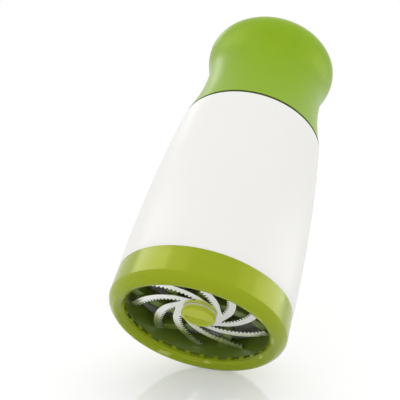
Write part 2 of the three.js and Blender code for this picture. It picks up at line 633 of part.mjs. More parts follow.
// Drive shaft: a square bar, necked for the auger clip and drilled at the top for its screw.
function driveShaft() {
  const bar = block(SHAFT_SIDE, SHAFT_SIDE, shaftEnd, shaftTop);
  const neck = tube(shaftClipFloor, SHAFT_SIDE, shaftClipEnd - CLIP_FIT,
    shaftClipEnd + CLIP_THICKNESS + CLIP_FIT, SMALL_SEGMENTS);
  const hole = disc(SCREW_RADIUS + FIT, linerBossTop + SHAFT_WASHER - SHAFT_SCREW_LENGTH - FIT,
    shaftTop + OVERSHOOT, SMALL_SEGMENTS);
  return bar.subtract(neck).subtract(hole);
}

function augerClip() {
  const inner = shaftClipFloor + FIT;
  return clip(inner, inner + CLIP_REACH, shaftClipEnd, shaftClipEnd + CLIP_THICKNESS, SHAFT_SIDE);
}

// Helical flight: a ribbon of even thickness wound up round Z, with flat ends.
function flight(inner, outer, end, top) {
  const turns = (top - end - FLIGHT_THICKNESS) / FLIGHT_PITCH;
  const steps = Math.ceil(turns * FLIGHT_STEPS);
  const section = [[inner, 0], [outer, 0], [outer, FLIGHT_THICKNESS], [inner, FLIGHT_THICKNESS]];
  const sides = section.length;
  const positions = [];
  for (let i = 0; i <= steps; i += 1) {
    const angle = (2 * Math.PI * turns * i) / steps;
    const level = end + (turns * FLIGHT_PITCH * i) / steps;
    for (const [radius, rise] of section) {
      positions.push(radius * Math.cos(angle), radius * Math.sin(angle), level + rise);
    }
  }
  const index = [0, 1, 2, 0, 2, 3];
  for (let i = 0; i < steps; i += 1) {
    for (let k = 0; k < sides; k += 1) {
      const a = sides * i + k;
      const b = sides * i + ((k + 1) % sides);
      index.push(a, a + sides, b, b, a + sides, b + sides);
    }
  }
  const last = sides * steps;
  index.push(last, last + 2, last + 1, last, last + 3, last + 2);
  const geometry = new THREE.BufferGeometry();
  geometry.setAttribute('position', new THREE.Float32BufferAttribute(positions, 3));
  geometry.setIndex(index);
  return solidOf(geometry);
}

// Auger: a tube on the square shaft, with one helical flight that presses the leaves down.
function auger() {
  const core = disc(AUGER_TUBE_RADIUS, augerEnd, augerTop);
  const vane = flight(AUGER_TUBE_RADIUS - OVERLAP, augerRadius, augerEnd, augerTop - FLIGHT_MARGIN);
  const hubRoom = disc(HUB_NECK_RADIUS + FIT, augerEnd - OVERSHOOT, hubTop + FIT);
  const side = SHAFT_SIDE + 2 * SQUARE_FIT;
  const way = block(side, side, augerEnd, augerTop + OVERSHOOT);
  return core.add(vane).subtract(hubRoom).subtract(way);
}

function shaftWasher() {
  const top = linerBossTop + SHAFT_WASHER;
  return tube(SCREW_RADIUS + FIT, SHAFT_WASHER_RADIUS, linerBossTop, top, SMALL_SEGMENTS);
}

function shaftScrew() {
  const seat = linerBossTop + SHAFT_WASHER;
  return screw(0, SHAFT_SCREW_LENGTH).rotate([180, 0, 0]).translate([0, 0, seat]);
}

function gather(...pieces) {
  const group = new THREE.Group();
  group.add(...pieces);
  return group;
}

const base = gather(
  piece('base_ring', baseRing(), GREEN),
  piece('blade_carrier', bladeCarrier(), DEEP_GREEN));

const cutter = gather(
  piece('blade', blade(), STEEL),
  piece('drive_hub', driveHub(), DEEP_GREEN),
  piece('hub_clip', hubClip(), STEEL),
  piece('hub_washer', hubWasher(), ACETAL));

const cap = gather(piece('hub_cap', hubCap(), GREEN));

const collar = gather(
  piece('swivel_collar', swivelCollar(), DEEP_GREEN),
  piece('collar_seal', collarSeal(), SEAL_GREY),
  piece('thrust_washer', thrustWasher(), ACETAL));

const knob = gather(
  piece('knob_shell', knobShell(), GREEN),
  piece('knob_liner', knobLiner(), DEEP_GREEN),
  piece('retaining_ring', retainingRing(), STEEL),
  piece('drive_shaft', driveShaft(), STEEL),
  piece('shaft_washer', shaftWasher(), STEEL),
  piece('shaft_screw', shaftScrew(), STEEL),
  piece('auger', auger(), DEEP_GREEN),
  piece('auger_clip', augerClip(), STEEL));
for (let i = 0; i < SCREW_COUNT; i += 1) {
  knob.add(piece(`liner_screw_${i + 1}`, atScrew(i, screw(screwSeat, SCREW_LENGTH)), STEEL));
}

const mill = gather(piece('hopper', hopper(), WHITE), base, cutter, cap, collar, knob);
mill.name = 'herb_mill';

export default mill;
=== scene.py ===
import math

import bmesh
import bpy
from mathutils import Matrix, Vector


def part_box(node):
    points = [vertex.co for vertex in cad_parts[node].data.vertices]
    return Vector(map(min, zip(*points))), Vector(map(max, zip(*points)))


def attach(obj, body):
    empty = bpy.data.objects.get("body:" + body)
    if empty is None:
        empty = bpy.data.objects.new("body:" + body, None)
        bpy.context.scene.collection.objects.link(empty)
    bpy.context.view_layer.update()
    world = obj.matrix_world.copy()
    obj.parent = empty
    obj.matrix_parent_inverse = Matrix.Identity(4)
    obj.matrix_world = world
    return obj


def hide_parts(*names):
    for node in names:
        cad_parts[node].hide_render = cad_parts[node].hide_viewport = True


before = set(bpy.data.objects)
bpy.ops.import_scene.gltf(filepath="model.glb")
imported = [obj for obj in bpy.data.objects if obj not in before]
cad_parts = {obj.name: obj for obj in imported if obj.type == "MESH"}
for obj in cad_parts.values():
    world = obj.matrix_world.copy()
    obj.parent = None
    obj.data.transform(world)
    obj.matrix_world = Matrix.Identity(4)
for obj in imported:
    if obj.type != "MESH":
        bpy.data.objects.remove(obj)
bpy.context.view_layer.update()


# Hopper
# The tapered white body, injection moulded in one piece with a satin gloss skin. Its spigot nests in
# the base ring on three bayonet lugs, and the collar of the knob plugs its open top.

HOPPER_BELLY_LEVEL = 0.025
HOPPER_TOP_RADIUS = 0.0335
HOPPER_WALL = 0.0022
HOPPER_FOOT_GAP = 0.0003
HOPPER_TUCK = 0.00015
HOPPER_TUCK_HEIGHT = 0.0016
HOPPER_FOOT_EDGE = 0.0002
HOPPER_RIM_EDGE = 0.0008
HOPPER_RIM_INNER_EDGE = 0.0004
SPIGOT_RADIUS = 0.035
SPIGOT_EDGE = 0.0003
SHOULDER_DEPTH = 0.0022
SHOULDER_SLOPE = 0.0045
SHOULDER_EDGE = 0.001
LUG_COUNT = 3
LUG_REACH = 0.0012
LUG_HEIGHT = 0.0022
LUG_HALF_ANGLE = 0.107
LUG_LIFT = 0.0019
ROUND_STEPS = 144
HOPPER_STEPS = 48
JOIN_OVERLAP = 0.0005
WELD_GAP = 0.000002


def settled(name, mesh):
    """Turns a finished bmesh into an object with smooth faces and crisp corners."""
    bmesh.ops.recalc_face_normals(mesh, faces=mesh.faces)
    data = bpy.data.meshes.new(name)
    mesh.to_mesh(data)
    mesh.free()
    piece = bpy.data.objects.new(name, data)
    bpy.context.collection.objects.link(piece)
    return smoothed(piece)


def smoothed(piece, crease=35):
    """Smooth shading, with a hard edge wherever faces meet at more than the crease angle in degrees."""
    piece.data.polygons.foreach_set("use_smooth", [True] * len(piece.data.polygons))
    piece.data.set_sharp_from_angle(angle=math.radians(crease))
    return piece


def rounded(corners, steps=6):
    """An outline through (radius, height, fillet) corners, each rounded off with its own arc."""
    outline = []
    for before, corner, after in zip(corners[-1:] + corners[:-1], corners, corners[1:] + corners[:1]):
        here = Vector(corner[:2])
        fillet = corner[2]
        if fillet == 0:
            outline.append(here)
            continue
        back = (Vector(before[:2]) - here).normalized()
        ahead = (Vector(after[:2]) - here).normalized()
        half = back.angle(ahead) / 2
        centre = here + (back + ahead).normalized() * fillet / math.sin(half)
        start = here + back * fillet / math.tan(half) - centre
        end = here + ahead * fillet / math.tan(half) - centre
        sweep = start.angle(end)
        for i in range(steps + 1):
            share = i / steps
            arm = start * math.sin((1 - share) * sweep) + end * math.sin(share * sweep)
            outline.append(centre + arm / math.sin(sweep))
    return outline


def turned(name, outline, steps=ROUND_STEPS):
    """A closed ring or disc turned about Z from an outline of (radius, height) points."""
    mesh = bmesh.new()
    rings = []
    for radius, height in outline:
        turn = [2 * math.pi * i / steps for i in range(steps)] if radius > 1e-6 else [0]
        rings.append([mesh.verts.new((radius * math.cos(a), radius * math.sin(a), height)) for a in turn])
    for low, high in zip(rings, rings[1:] + rings[:1]):
        for i in range(steps):
            j = i + 1
            loop = [low[i % len(low)], low[j % len(low)], high[j % len(high)], high[i % len(high)]]
            loop = list(dict.fromkeys(loop))
            if len(loop) > 2:
                mesh.faces.new(loop)
    return settled(name, mesh)


def ring_blocks(name, count, radii, angles, levels, steps=6):
    """Blocks cut out of a ring, evenly spread round Z."""
    mesh = bmesh.new()
    for k in range(count):
        loops = []
        for i in range(steps + 1):
            angle = 2 * math.pi * k / count + angles[0] + (angles[1] - angles[0]) * i / steps
            spots = [(radii[0], levels[0]), (radii[1], levels[0]),
                     (radii[1], levels[1]), (radii[0], levels[1])]
            loops.append([mesh.verts.new((r * math.cos(angle), r * math.sin(angle), z)) for r, z in spots])
        skinned(mesh, loops)
    return settled(name, mesh)


def skinned(mesh, loops):
    """Joins section loops into one closed bar with flat ends."""
    for low, high in zip(loops, loops[1:]):
        for i in range(len(low)):
            j = (i + 1) % len(low)
            mesh.faces.new([low[i], low[j], high[j], high[i]])
    mesh.faces.new(loops[0])
    mesh.faces.new(loops[-1])


def combined(piece, tool, operation):
    """Cuts a tool out of a piece, joins it on or keeps what they share, and drops the tool."""
    step = piece.modifiers.new("combine", "BOOLEAN")
    step.operation = operation
    step.solver = "EXACT"
    step.object = tool
    bpy.context.view_layer.update()
    shaped = piece.evaluated_get(bpy.context.evaluated_depsgraph_get())
    data = bpy.data.meshes.new_from_object(shaped)
    piece.modifiers.clear()
    mesh = bmesh.new()
    mesh.from_mesh(data)
    bmesh.ops.remove_doubles(mesh, verts=mesh.verts, dist=WELD_GAP)
    bmesh.ops.dissolve_degenerate(mesh, dist=WELD_GAP, edges=mesh.edges)
    mesh.to_mesh(data)
    mesh.free()
    piece.data = data
    bpy.data.objects.remove(tool)
    return smoothed(piece)


def shader_group(name, inputs, outputs):
    """An empty shader node group with named sockets, and its two end nodes."""
    group = bpy.data.node_groups.new(name, "ShaderNodeTree")
    for label, kind, value in inputs:
        socket = group.interface.new_socket(label, in_out="INPUT", socket_type=kind)
        socket.default_value = value
    for label, kind in outputs:
        group.interface.new_socket(label, in_out="OUTPUT", socket_type=kind)
    return group, group.nodes.new("NodeGroupInput"), group.nodes.new("NodeGroupOutput")


def moulded_skin():
    """Moulded plastic: cloudy tone, lighter edges of wear and painted highlight, uneven gloss and a fine
    orange peel.
    """
    group, given, made = shader_group(
        "moulded_skin",
        [("Colour", "NodeSocketColor", (1, 1, 1, 1)), ("Shade", "NodeSocketColor", (1, 1, 1, 1)),
         ("Edge", "NodeSocketColor", (1, 1, 1, 1)), ("Roughness", "NodeSocketFloat", 0.3),
         ("Spread", "NodeSocketFloat", 0.1), ("Peel Scale", "NodeSocketFloat", 900.0)],
        [("Colour", "NodeSocketColor"), ("Roughness", "NodeSocketFloat"), ("Height", "NodeSocketFloat")])
    nodes, links = group.nodes, group.links
    place = nodes.new("ShaderNodeTexCoord")
    cloud = nodes.new("ShaderNodeTexNoise")
    cloud.inputs["Scale"].default_value = 38
    cloud.inputs["Detail"].default_value = 4
    links.new(place.outputs["Object"], cloud.inputs["Vector"])
    tone = nodes.new("ShaderNodeMix")
    tone.data_type = "RGBA"
    links.new(cloud.outputs["Fac"], tone.inputs["Factor"])
    links.new(given.outputs["Colour"], tone.inputs["A"])
    links.new(given.outputs["Shade"], tone.inputs["B"])
    form = nodes.new("ShaderNodeNewGeometry")
    # Convex edges, found by pointiness, turn towards the Edge colour: part wear, part painted highlight.
    ridge = nodes.new("ShaderNodeMapRange")
    ridge.inputs["From Min"].default_value = 0.53
    ridge.inputs["From Max"].default_value = 0.62
    ridge.inputs["To Max"].default_value = 0.6
    links.new(form.outputs["Pointiness"], ridge.inputs["Value"])
    wear_and_highlight = nodes.new("ShaderNodeMix")
    wear_and_highlight.data_type = "RGBA"
    links.new(ridge.outputs["Result"], wear_and_highlight.inputs["Factor"])
    links.new(tone.outputs["Result"], wear_and_highlight.inputs["A"])
    links.new(given.outputs["Edge"], wear_and_highlight.inputs["B"])
    links.new(wear_and_highlight.outputs["Result"], made.inputs["Colour"])
    smear = nodes.new("ShaderNodeTexNoise")
    smear.inputs["Scale"].default_value = 120
    smear.inputs["Detail"].default_value = 5
    links.new(place.outputs["Object"], smear.inputs["Vector"])
    centred = nodes.new("ShaderNodeMath")
    centred.operation = "SUBTRACT"
    centred.inputs[1].default_value = 0.5
    links.new(smear.outputs["Fac"], centred.inputs[0])
    gloss = nodes.new("ShaderNodeMath")
    gloss.operation = "MULTIPLY_ADD"
    links.new(centred.outputs["Value"], gloss.inputs[0])
    links.new(given.outputs["Spread"], gloss.inputs[1])
    links.new(given.outputs["Roughness"], gloss.inputs[2])
    links.new(gloss.outputs["Value"], made.inputs["Roughness"])
    peel = nodes.new("ShaderNodeTexNoise")
    peel.inputs["Detail"].default_value = 2
    links.new(place.outputs["Object"], peel.inputs["Vector"])
    links.new(given.outputs["Peel Scale"], peel.inputs["Scale"])
    links.new(peel.outputs["Fac"], made.inputs["Height"])
    return group


MOULDED_SKIN = moulded_skin()


def plastic(name, colour, shade, edge, roughness, spread, peel_scale, peel_depth, sheen=0.5, tint=(1, 1, 1)):
    """A moulded plastic finish. The sheen is how strongly it mirrors, the tint the mirrored colour."""
    finish = bpy.data.materials.new(name)
    finish.use_nodes = True
    nodes, links = finish.node_tree.nodes, finish.node_tree.links
    surface = nodes["Principled BSDF"]
    surface.inputs["Specular IOR Level"].default_value = sheen
    surface.inputs["Specular Tint"].default_value = (*tint, 1)
    skin = nodes.new("ShaderNodeGroup")
    skin.node_tree = MOULDED_SKIN
    skin.inputs["Colour"].default_value = (*colour, 1)
    skin.inputs["Shade"].default_value = (*shade, 1)
    skin.inputs["Edge"].default_value = (*edge, 1)
    skin.inputs["Roughness"].default_value = roughness
    skin.inputs["Spread"].default_value = spread
    skin.inputs["Peel Scale"].default_value = peel_scale
    bump = nodes.new("ShaderNodeBump")
    bump.inputs["Strength"].default_value = 0.4
    bump.inputs["Distance"].default_value = peel_depth
    links.new(skin.outputs["Colour"], surface.inputs["Base Color"])
    links.new(skin.outputs["Roughness"], surface.inputs["Roughness"])
    links.new(skin.outputs["Height"], bump.inputs["Height"])
    links.new(bump.outputs["Normal"], surface.inputs["Normal"])
    return finish


hopper_low, hopper_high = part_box("hopper")
ring_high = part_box("base_ring")[1]
hopper_foot = ring_high.z + HOPPER_FOOT_GAP
hopper_top = hopper_high.z


def hopper_radius(level):
    """Outer radius of the hopper, widest at the belly and drawn in towards the top."""
    share = (level - HOPPER_BELLY_LEVEL) / (hopper_top - HOPPER_BELLY_LEVEL)
    return hopper_high.x - (hopper_high.x - HOPPER_TOP_RADIUS) * share ** 2


def hopper_wall(low, high, inset):
    """Points up the hopper's curved wall, moved in by the inset."""
    levels = [low + (high - low) * i / HOPPER_STEPS for i in range(1, HOPPER_STEPS)]
    return [(hopper_radius(level) - inset, level, 0) for level in levels]


spigot_bore = SPIGOT_RADIUS - HOPPER_WALL
shoulder = hopper_foot + SHOULDER_DEPTH
slope_top = shoulder + SHOULDER_SLOPE
hopper = turned("hopper_shell", rounded(
    [(spigot_bore, hopper_low.z, SPIGOT_EDGE), (SPIGOT_RADIUS, hopper_low.z, SPIGOT_EDGE),
     (SPIGOT_RADIUS, hopper_foot, 0), (ring_high.x - HOPPER_TUCK, hopper_foot, HOPPER_FOOT_EDGE)]
    + hopper_wall(hopper_foot + HOPPER_TUCK_HEIGHT, hopper_top, 0)
    + [(HOPPER_TOP_RADIUS, hopper_top, HOPPER_RIM_EDGE),
       (HOPPER_TOP_RADIUS - HOPPER_WALL, hopper_top, HOPPER_RIM_INNER_EDGE)]
    + hopper_wall(slope_top, hopper_top, HOPPER_WALL)[::-1]
    + [(hopper_radius(slope_top) - HOPPER_WALL, slope_top, SHOULDER_EDGE),
       (spigot_bore, shoulder, SHOULDER_EDGE)]))
lug_low = hopper_low.z + LUG_LIFT
lugs = ring_blocks("hopper_lugs", LUG_COUNT, (SPIGOT_RADIUS - JOIN_OVERLAP, SPIGOT_RADIUS + LUG_REACH),
                   (-LUG_HALF_ANGLE, LUG_HALF_ANGLE), (lug_low, lug_low + LUG_HEIGHT))
hopper = combined(hopper, lugs, "UNION")
hopper.data.materials.append(plastic(
    "white_plastic", colour=(0.92, 0.912, 0.88), shade=(0.90, 0.892, 0.86), edge=(0.94, 0.935, 0.91),
    roughness=0.32, spread=0.08, peel_scale=1100, peel_depth=0.00002, sheen=0.15))
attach(hopper, "hopper_body")
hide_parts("hopper")


# Base ring
# The glossy green ring that closes the bottom. Its wall folds in to a bowed lip that rises again to the
# mouth, the mouth wall is notched all round, and grooves inside take the hopper's bayonet lugs.

RING_FOLD_LEVEL = 0.0042
RING_LIP_REACH = 0.0035
RING_LIP_BOW = 0.00055
RING_LIP_STEPS = 14
RING_FOOT_FLAT = 0.0009
RING_DRAFT = 0.0001
RING_WALL = 0.0022
RING_GAP_FILL = 0.00026
RING_FOLD_EDGE = 0.001
RING_FOOT_EDGE = 0.0002
RING_FOOT_INNER_EDGE = 0.0008
RING_TOP_EDGE = 0.00015
RING_BORE_EDGE = 0.0003
MOUTH_RADIUS = 0.0304
MOUTH_RISE = 0.0024
MOUTH_LAND = 0.0022
MOUTH_BEND_REACH = 1 / 3
MOUTH_BEND_RISE = 1 / 2
MOUTH_EDGE = 0.0005
MOUTH_BEND_EDGE = 0.001
SHELF_EDGE = 0.0002
NOTCH_COUNT = 30
NOTCH_HALF_ANGLE = math.radians(3.96)
NOTCH_DEPTH = 0.0012
NOTCH_LIP = 0.0009
UNLOCK_ANGLE = math.radians(25)
GROOVE_GAP = 0.0003
CUT_PAST = 0.001

ring_radius = ring_high.x
ring_top = ring_high.z + RING_GAP_FILL
ring_shelf = MOUTH_RISE + MOUTH_LAND
ring_bore = ring_radius - RING_WALL
foot_outer = ring_radius - RING_LIP_REACH
foot_inner = foot_outer - RING_FOOT_FLAT
mouth_bend = MOUTH_RADIUS + (foot_inner - MOUTH_RADIUS) * MOUTH_BEND_REACH


def bowed(start, end, bow, steps):
    """Corners along a line that bows out to its right, without its two ends."""
    start, end = Vector(start), Vector(end)
    out = Vector((end.y - start.y, start.x - end.x)).normalized() * bow
    shares = [i / steps for i in range(1, steps)]
    return [(*(start.lerp(end, share) + out * 4 * share * (1 - share)), 0) for share in shares]


base_ring = turned("base_ring_moulding", rounded(
    [(MOUTH_RADIUS, MOUTH_RISE, MOUTH_EDGE), (mouth_bend, MOUTH_RISE * MOUTH_BEND_RISE, MOUTH_BEND_EDGE),
     (foot_inner, 0, RING_FOOT_INNER_EDGE), (foot_outer, 0, RING_FOOT_EDGE)]
    + bowed((foot_outer, 0), (ring_radius, RING_FOLD_LEVEL), RING_LIP_BOW, RING_LIP_STEPS)
    + [(ring_radius, RING_FOLD_LEVEL, RING_FOLD_EDGE), (ring_radius - RING_DRAFT, ring_top, RING_TOP_EDGE),
       (ring_bore, ring_top, RING_BORE_EDGE), (ring_bore, ring_shelf, 0),
       (MOUTH_RADIUS, ring_shelf, SHELF_EDGE)]))
notches = ring_blocks("mouth_notches", NOTCH_COUNT, (MOUTH_RADIUS - CUT_PAST, MOUTH_RADIUS + NOTCH_DEPTH),
                      (-NOTCH_HALF_ANGLE, NOTCH_HALF_ANGLE),
                      (MOUTH_RISE + NOTCH_LIP, ring_shelf + CUT_PAST), steps=2)
base_ring = combined(base_ring, notches, "DIFFERENCE")
groove_gap_angle = GROOVE_GAP / SPIGOT_RADIUS
groove_start = -LUG_HALF_ANGLE - UNLOCK_ANGLE - groove_gap_angle
groove_radii = (SPIGOT_RADIUS, SPIGOT_RADIUS + LUG_REACH + GROOVE_GAP)
grooves = ring_blocks("bayonet_grooves", LUG_COUNT, groove_radii,
                      (groove_start, LUG_HALF_ANGLE + groove_gap_angle),
                      (lug_low - GROOVE_GAP, lug_low + LUG_HEIGHT + GROOVE_GAP), steps=12)
base_ring = combined(base_ring, grooves, "DIFFERENCE")
entries = ring_blocks("bayonet_entries", LUG_COUNT, groove_radii,
                      (groove_start, LUG_HALF_ANGLE - UNLOCK_ANGLE + groove_gap_angle),
                      (lug_low - GROOVE_GAP, ring_top + CUT_PAST))
base_ring = combined(base_ring, entries, "DIFFERENCE")
# Its pale edge colour paints a highlight line along the top edge, the fold and the mouth.
base_ring.data.materials.append(plastic(
    "ring_green", colour=(0.30, 0.39, 0.015), shade=(0.275, 0.365, 0.013), edge=(0.62, 0.70, 0.2),
    roughness=0.2, spread=0.05, peel_scale=700, peel_depth=0.00002, sheen=0.6, tint=(1, 0.9, 0.15)))
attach(base_ring, "base")
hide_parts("base_ring")


# Blade carrier
# The green ring that drops into the base ring and is keyed by its mouth notches. Six leaning spokes
# with rounded edges shear against the blade and hold the bush that the hub turns in.

CARRIER_FLANGE = 0.0012
CARRIER_FLANGE_EDGE = 0.0003
CARRIER_EDGE = 0.0005
CARRIER_MOUTH_EDGE = 0.0002
CARRIER_GAP = 0.0003
KEY_COUNT = 6
KEY_HALF_ANGLE = math.radians(3.4)
KEY_DROP = 0.001
SPOKE_COUNT = 6
SPOKE_WIDTH = 0.0042
SPOKE_LEAN = math.radians(-38)
SPOKE_EDGE = 0.0009
SPOKE_LOW_EDGE = 0.0003
SPOKE_STEPS = 24
SPOKE_TOP_DROP = 0.001
SPOKE_BLADE_GAP = 0.0006
SPOKE_ROOT = 0.001
BUSH_BORE = 0.0063
BUSH_RADIUS = 0.009
BUSH_BLADE_GAP = 0.0018
BUSH_LOW_EDGE = 0.0003
BUSH_TOP_EDGE = 0.0005
HUB_FLANGE_ROOM = 0.0098

carrier_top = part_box("blade_carrier")[1].z
blade_low, blade_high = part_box("blade")
spoke_top = carrier_top - SPOKE_TOP_DROP
spoke_low = blade_high.z + SPOKE_BLADE_GAP
bush_low = blade_high.z + BUSH_BLADE_GAP


def spiral(start, end, lean, share):
    """Place and sideways direction, at a share of its length, on a curve that keeps one lean from
    the radius."""
    radius = start * (end / start) ** share
    angle = -math.tan(lean) * math.log(radius / start)
    heading = angle - lean
    place = Vector((radius * math.cos(angle), radius * math.sin(angle)))
    return place, Vector((math.sin(heading), -math.cos(heading)))


def spoke_bars(name):
    """The leaning spokes, each a bar of rounded section."""
    mesh = bmesh.new()
    half = SPOKE_WIDTH / 2
    section = rounded([(-half, spoke_low, SPOKE_LOW_EDGE), (half, spoke_low, SPOKE_LOW_EDGE),
                       (half, spoke_top, SPOKE_EDGE), (-half, spoke_top, SPOKE_EDGE)], steps=4)
    for k in range(SPOKE_COUNT):
        turn = Matrix.Rotation(2 * math.pi * k / SPOKE_COUNT, 3, "Z")
        loops = []
        for i in range(SPOKE_STEPS + 1):
            place, across = spiral(BUSH_BORE + SPOKE_ROOT, MOUTH_RADIUS + JOIN_OVERLAP, SPOKE_LEAN,
                                   i / SPOKE_STEPS)
            spots = [(*(place + across * side), level) for side, level in section]
            loops.append([mesh.verts.new(turn @ Vector(spot)) for spot in spots])
        skinned(mesh, loops)
    return settled(name, mesh)


carrier_radius = SPIGOT_RADIUS - HOPPER_WALL - CARRIER_GAP
carrier_flange_top = ring_shelf + CARRIER_FLANGE
carrier = turned("blade_carrier_moulding", rounded(
    [(MOUTH_RADIUS, ring_shelf, CARRIER_MOUTH_EDGE), (SPIGOT_RADIUS, ring_shelf, 0),
     (SPIGOT_RADIUS, carrier_flange_top, CARRIER_FLANGE_EDGE), (carrier_radius, carrier_flange_top, 0),
     (carrier_radius, spoke_top, CARRIER_EDGE), (MOUTH_RADIUS, spoke_top, CARRIER_EDGE)]))
flange_room = turned("hub_flange_room", [(0, spoke_low - CUT_PAST), (HUB_FLANGE_ROOM, spoke_low - CUT_PAST),
                                         (HUB_FLANGE_ROOM, bush_low), (0, bush_low)])
spokes = combined(spoke_bars("carrier_spokes"), flange_room, "DIFFERENCE")
carrier = combined(carrier, spokes, "UNION")
bush = turned("carrier_bush", rounded(
    [(0, bush_low, 0), (BUSH_RADIUS, bush_low, BUSH_LOW_EDGE),
     (BUSH_RADIUS, carrier_top, BUSH_TOP_EDGE), (0, carrier_top, 0)]))
carrier = combined(carrier, bush, "UNION")
keys = ring_blocks("carrier_keys", KEY_COUNT,
                   (MOUTH_RADIUS + CARRIER_GAP, MOUTH_RADIUS + NOTCH_DEPTH - CARRIER_GAP),
                   (-KEY_HALF_ANGLE, KEY_HALF_ANGLE), (ring_shelf - KEY_DROP, ring_shelf + JOIN_OVERLAP),
                   steps=2)
carrier = combined(carrier, keys, "UNION")
bush_hole = turned("bush_hole", [(0, bush_low - CUT_PAST), (BUSH_BORE, bush_low - CUT_PAST),
                                 (BUSH_BORE, carrier_top + CUT_PAST), (0, carrier_top + CUT_PAST)])
carrier = combined(carrier, bush_hole, "DIFFERENCE")
# A darker copy of the green, which paints the shade inside the mouth on the carrier, hub, auger and liner.
SHADE_DARKENED_GREEN = plastic(
    "inner_green_plastic", colour=(0.13, 0.19, 0.02), shade=(0.11, 0.165, 0.017), edge=(0.2, 0.28, 0.04),
    roughness=0.34, spread=0.1, peel_scale=900, peel_depth=0.00003)
carrier.data.materials.append(SHADE_DARKENED_GREEN)
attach(carrier, "base")
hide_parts("blade_carrier")


# Blade
# A pinwheel stamped from stainless sheet. Nine curved arms leave a small disc, each ground to fine
# saw teeth along its hollow side, and a hexagon on the hub turns it.

ARM_COUNT = 9
ARM_WIDTH = 0.0028
ARM_LEAN = math.radians(48)
ARM_PHASE = math.radians(31)
ARM_ROOT = 0.0117
ARM_START = 0.0097
ARM_STEPS = 20
TOOTH_PITCH = 0.0018
TOOTH_DEPTH = 0.0009
TOOTH_CORNERS = ((0, 0), (0.42, 0), (0.5, 1), (0.92, 1))
ROOT_REACH = 0.0016
ROOT_STEPS = 7
ROOT_PROBE = 0.02
BLADE_MOUTH_GAP = 0.0005
HEXAGON_RADIUS = 0.0055

blade_radius = MOUTH_RADIUS - BLADE_MOUTH_GAP


def arm_spot(turn, share, side):
    """A point beside the middle line of the arm that leaves the disc at the turn."""
    place, across = spiral(ARM_START, blade_radius - TOOTH_DEPTH, ARM_LEAN, share)
    spot = place + across * side
    return Matrix.Rotation(turn, 2) @ spot


def bezier(points, share):
    """A point of the cubic curve with the four given control points."""
    a, b, c, d = (Vector(point) for point in points)
    rest = 1 - share
    return a * rest ** 3 + b * 3 * share * rest ** 2 + c * 3 * share ** 2 * rest + d * share ** 3


def blade_outline():
    """The edge of the pinwheel: out along the teeth of an arm, back along its round side, and on."""
    reach = blade_radius - TOOTH_DEPTH
    growth = math.log(reach / ARM_START)
    root = math.log(ARM_ROOT / ARM_START) / growth
    teeth = round((reach - ARM_ROOT) / math.cos(ARM_LEAN) / TOOTH_PITCH)
    half = ARM_WIDTH / 2
    outline = []
    for k in range(ARM_COUNT):
        turn = ARM_PHASE + 2 * math.pi * k / ARM_COUNT
        after = turn + 2 * math.pi / ARM_COUNT
        for i in range(teeth):
            for along, height in TOOTH_CORNERS:
                radius = ARM_ROOT + (reach - ARM_ROOT) * (i + along) / teeth
                share = math.log(radius / ARM_START) / growth
                outline.append(arm_spot(turn, share, half + TOOTH_DEPTH * height))
        outline.append(arm_spot(turn, 1, half))
        outline += [arm_spot(turn, 1 - (1 - root) * i / ARM_STEPS, -half) for i in range(ARM_STEPS + 1)]
        ends = outline[-1], arm_spot(after, root, half)
        probes = arm_spot(turn, root - ROOT_PROBE, -half), arm_spot(after, root - ROOT_PROBE, half)
        pulls = [end + (probe - end).normalized() * ROOT_REACH for end, probe in zip(ends, probes)]
        curve = ends[0], pulls[0], pulls[1], ends[1]
        outline += [bezier(curve, i / ROOT_STEPS) for i in range(1, ROOT_STEPS)]
    return outline


def stamped(name, outlines, low, high):
    """A flat plate between two levels, from an outer outline and the outlines of its holes."""
    mesh = bmesh.new()
    edges = []
    for outline in outlines:
        loop = [mesh.verts.new((*spot, low)) for spot in outline]
        edges += [mesh.edges.new(pair) for pair in zip(loop, loop[1:] + loop[:1])]
    bmesh.ops.triangle_fill(mesh, use_beauty=True, edges=edges)
    raised = bmesh.ops.extrude_face_region(mesh, geom=mesh.faces[:])
    top = [spot for spot in raised["geom"] if isinstance(spot, bmesh.types.BMVert)]
    bmesh.ops.translate(mesh, verts=top, vec=(0, 0, high - low))
    return settled(name, mesh)


def steel_grain():
    """Ground stainless: fine scratches in the gloss and the surface, and a faint warm stain."""
    group, given, made = shader_group(
        "steel_grain",
        [("Colour", "NodeSocketColor", (1, 1, 1, 1)), ("Stain", "NodeSocketColor", (1, 1, 1, 1)),
         ("Roughness", "NodeSocketFloat", 0.25), ("Spread", "NodeSocketFloat", 0.2),
         ("Grain Scale", "NodeSocketFloat", 600.0)],
        [("Colour", "NodeSocketColor"), ("Roughness", "NodeSocketFloat"), ("Height", "NodeSocketFloat")])
    nodes, links = group.nodes, group.links
    place = nodes.new("ShaderNodeTexCoord")
    along = nodes.new("ShaderNodeMapping")
    along.inputs["Scale"].default_value = (1, 0.06, 1)
    links.new(place.outputs["Object"], along.inputs["Vector"])
    scratch = nodes.new("ShaderNodeTexNoise")
    scratch.inputs["Detail"].default_value = 6
    links.new(along.outputs["Vector"], scratch.inputs["Vector"])
    links.new(given.outputs["Grain Scale"], scratch.inputs["Scale"])
    stain = nodes.new("ShaderNodeTexNoise")
    stain.inputs["Scale"].default_value = 140
    links.new(place.outputs["Object"], stain.inputs["Vector"])
    tone = nodes.new("ShaderNodeMix")
    tone.data_type = "RGBA"
    links.new(stain.outputs["Fac"], tone.inputs["Factor"])
    links.new(given.outputs["Colour"], tone.inputs["A"])
    links.new(given.outputs["Stain"], tone.inputs["B"])
    links.new(tone.outputs["Result"], made.inputs["Colour"])
    gloss = nodes.new("ShaderNodeMath")
    gloss.operation = "MULTIPLY_ADD"
    links.new(scratch.outputs["Fac"], gloss.inputs[0])
    links.new(given.outputs["Spread"], gloss.inputs[1])
    links.new(given.outputs["Roughness"], gloss.inputs[2])
    links.new(gloss.outputs["Value"], made.inputs["Roughness"])
    links.new(scratch.outputs["Fac"], made.inputs["Height"])
    return group


STEEL_GRAIN = steel_grain()


